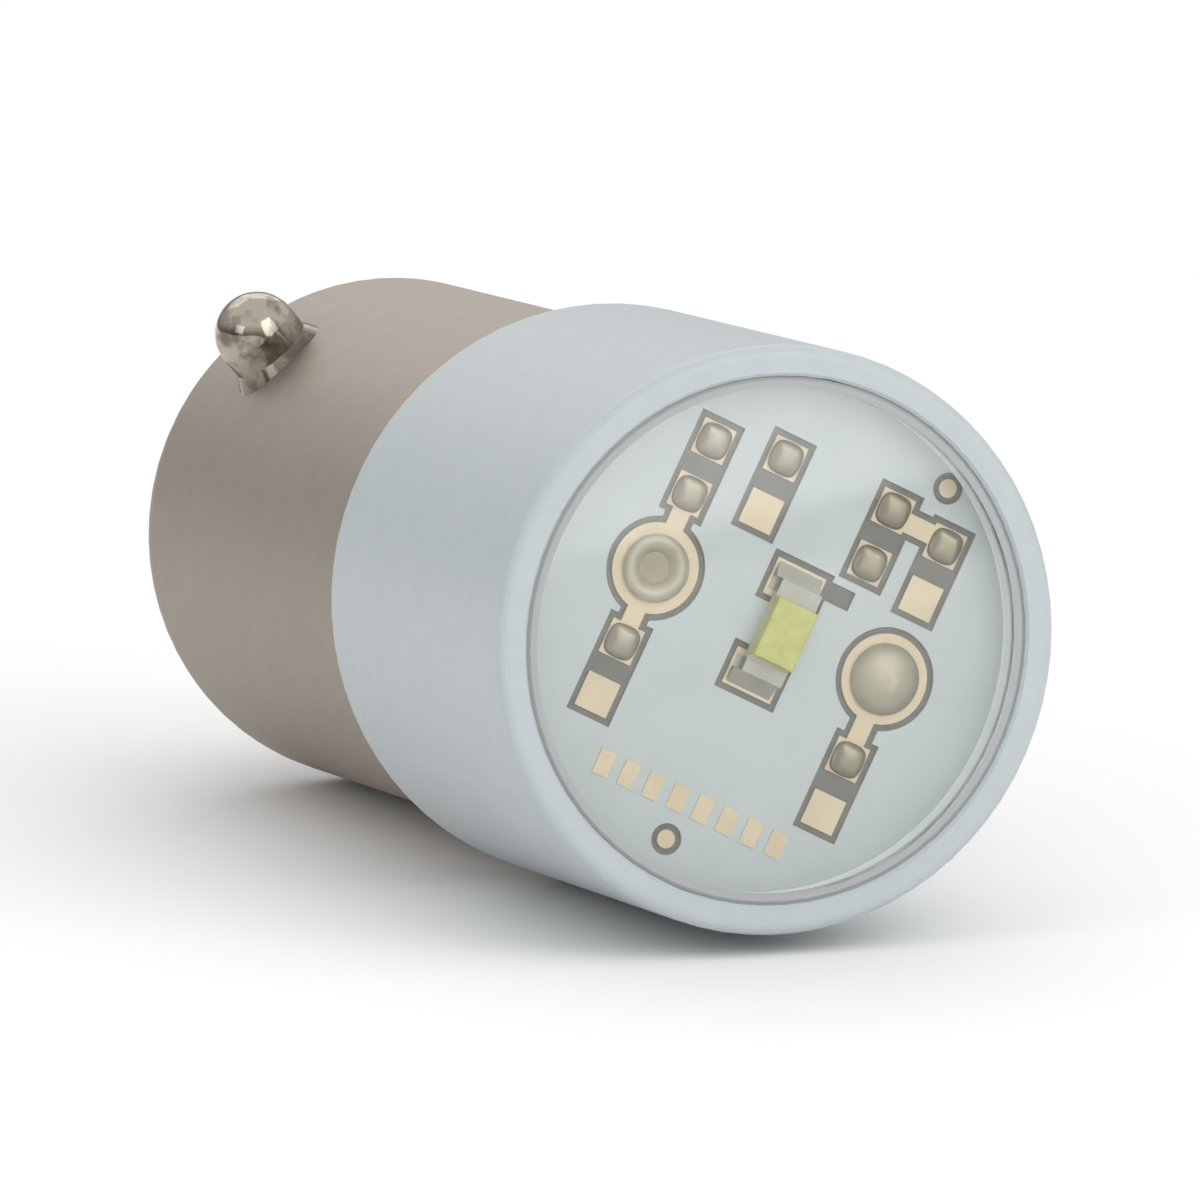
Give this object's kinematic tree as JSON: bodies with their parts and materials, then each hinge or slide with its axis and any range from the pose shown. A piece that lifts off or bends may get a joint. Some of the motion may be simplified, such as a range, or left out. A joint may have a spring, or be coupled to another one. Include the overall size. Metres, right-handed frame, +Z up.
{
  "type": "pilot light LED bulb",
  "caption": "Miniature bayonet LED lamp: metal shell with side pins, white sleeve, and a flat clear window over a round board with a small yellow diode.",
  "frame": {"origin": "on the surface the lamp lies on, under the middle of its bounding box", "axes": "+Z up; the lamp lies along Y, with its window towards -Y and its centre contact towards +Y"},
  "size_m": [0.01, 0.0238, 0.0103],
  "materials": {
    "nickel_shell": "satin nickel plating",
    "nickel_pin": "bright nickel plating",
    "insulator": "glossy black",
    "contact_brass": "bright",
    "sleeve_plastic": "semi-matte bluish white",
    "window_clear": "clear and polished",
    "laminate": "dark resin laminate",
    "solder_mask": "white, semi-gloss",
    "gilt_copper": "thin gilding",
    "solder": "bright solder",
    "tinned_metal": "tinned",
    "led_carrier": "white",
    "led_yellow": "yellow phosphor in resin",
    "black_epoxy": "moulded",
    "resistor_ceramic": "lacquered, pale blue",
    "capacitor_ceramic": "fired"
  },
  "bodies": {
    "root": {"bayonet_shell": "nickel_shell", "bayonet_pin_upper": "nickel_pin", "bayonet_pin_lower": "nickel_pin", "base_insulator": "insulator", "contact_eyelet": "contact_brass", "sleeve": "sleeve_plastic", "window": "window_clear", "circuit_board": "laminate", "front_solder_mask": "solder_mask", "front_lands": "gilt_copper", "copper_bars": "gilt_copper", "rear_pads": "gilt_copper", "contact_solder": "solder", "pad_solder": "solder", "led_solder": "solder", "board_lead_solder": "solder", "shell_lead_solder": "solder", "shell_lead_joint": "solder", "led_terminals": "tinned_metal", "contact_lead": "tinned_metal", "board_lead": "tinned_metal", "shell_lead": "tinned_metal", "rectifier_leads": "tinned_metal", "capacitor_caps": "tinned_metal", "led_base": "led_carrier", "led_phosphor": "led_yellow", "rectifier_body": "black_epoxy", "series_resistor": "resistor_ceramic", "capacitor_body": "capacitor_ceramic"}
  },
  "joints": []
}
